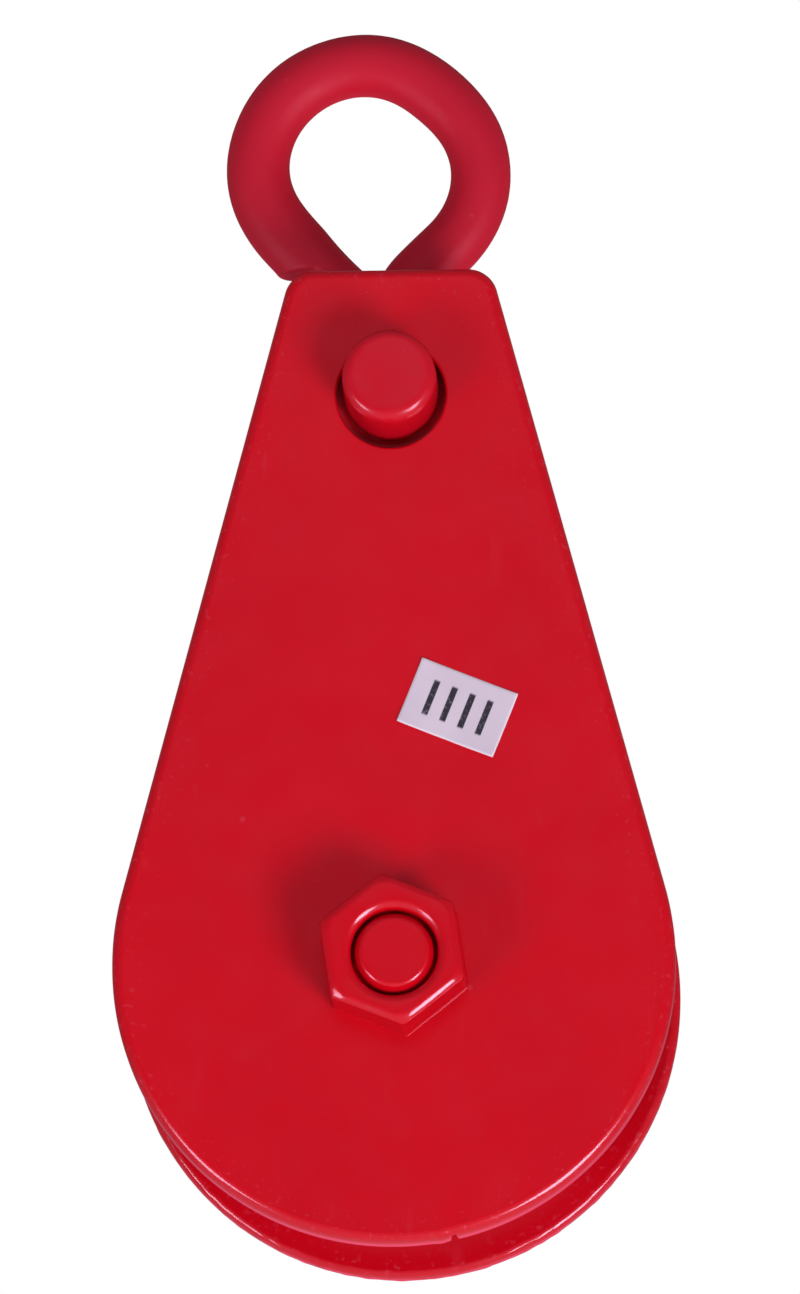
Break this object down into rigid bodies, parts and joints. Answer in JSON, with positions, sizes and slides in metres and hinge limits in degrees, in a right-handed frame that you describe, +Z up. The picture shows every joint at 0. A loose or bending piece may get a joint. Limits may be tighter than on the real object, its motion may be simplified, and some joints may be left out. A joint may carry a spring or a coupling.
{
  "type": "snatch block",
  "caption": "Lifting block with tapered cheek plates, one opening to take a rope over its sheave, and a swivel eye in a crosshead at the top.",
  "frame": {"origin": "load point in the eye: on the swivel axis, at the height of the ring's centre", "axes": "+Z up along the swivel axis through the eye, +Y along the axle from the nut to the bolt's head, +X to the right seen from the nut's side"},
  "size_m": [0.1, 0.0643, 0.2242],
  "materials": {
    "red_enamel": "thick glossy red enamel over steel, with small scuffs and specks",
    "machined_steel": "turned steel, lightly greased",
    "bearing_steel": "ground and polished bearing steel",
    "pressed_steel": "thin pressed sheet",
    "spring_steel": "black phosphated spring steel",
    "zinc_plate": "bright zinc plate",
    "label_paper": "pale paper label"
  },
  "bodies": {
    "eye": {"eye": "red_enamel", "swivel_washer": "zinc_plate", "swivel_nut": "zinc_plate", "swivel_split_pin": "zinc_plate"},
    "crosshead": {"crosshead": "red_enamel"},
    "frame": {"front_cheek": "red_enamel", "axle_bolt": "red_enamel", "axle_nut": "red_enamel", "axle_washer": "red_enamel", "cheek_bush": "machined_steel", "front_spacer": "machined_steel", "rear_spacer": "machined_steel", "bearing_inner_ring": "bearing_steel"},
    "opening_cheek": {"rear_cheek": "red_enamel"},
    "sheave": {"sheave": "machined_steel", "bearing_outer_ring": "bearing_steel", "bearing_shield_front": "pressed_steel", "bearing_shield_rear": "pressed_steel", "bearing_circlip": "spring_steel"},
    "balls": {"bearing_balls": "bearing_steel", "bearing_cage": "pressed_steel"}
  },
  "joints": [
    {"name": "eye_swivel", "type": "hinge", "parent": "eye", "child": "crosshead", "pos_m": [0, 0, -0.045], "axis": [0, 0, 1], "continuous": true},
    {"name": "head_tilt", "type": "hinge", "parent": "crosshead", "child": "frame", "pos_m": [0, 0, -0.045], "axis": [0, 1, 0], "range_deg": [-90, 90]},
    {"name": "cheek_swing", "type": "hinge", "parent": "frame", "child": "opening_cheek", "pos_m": [0, 0, -0.1488], "axis": [0, 1, 0], "range_deg": [0, 180]},
    {"name": "sheave_spin", "type": "hinge", "parent": "frame", "child": "sheave", "pos_m": [0, 0, -0.1488], "axis": [0, 1, 0], "continuous": true},
    {"name": "ball_orbit", "type": "hinge", "parent": "frame", "child": "balls", "pos_m": [0, 0, -0.1488], "axis": [0, 1, 0], "continuous": true}
  ],
  "couplings": [
    {"joint": "ball_orbit", "follows": "sheave_spin", "ratio": 0.61842}
  ]
}
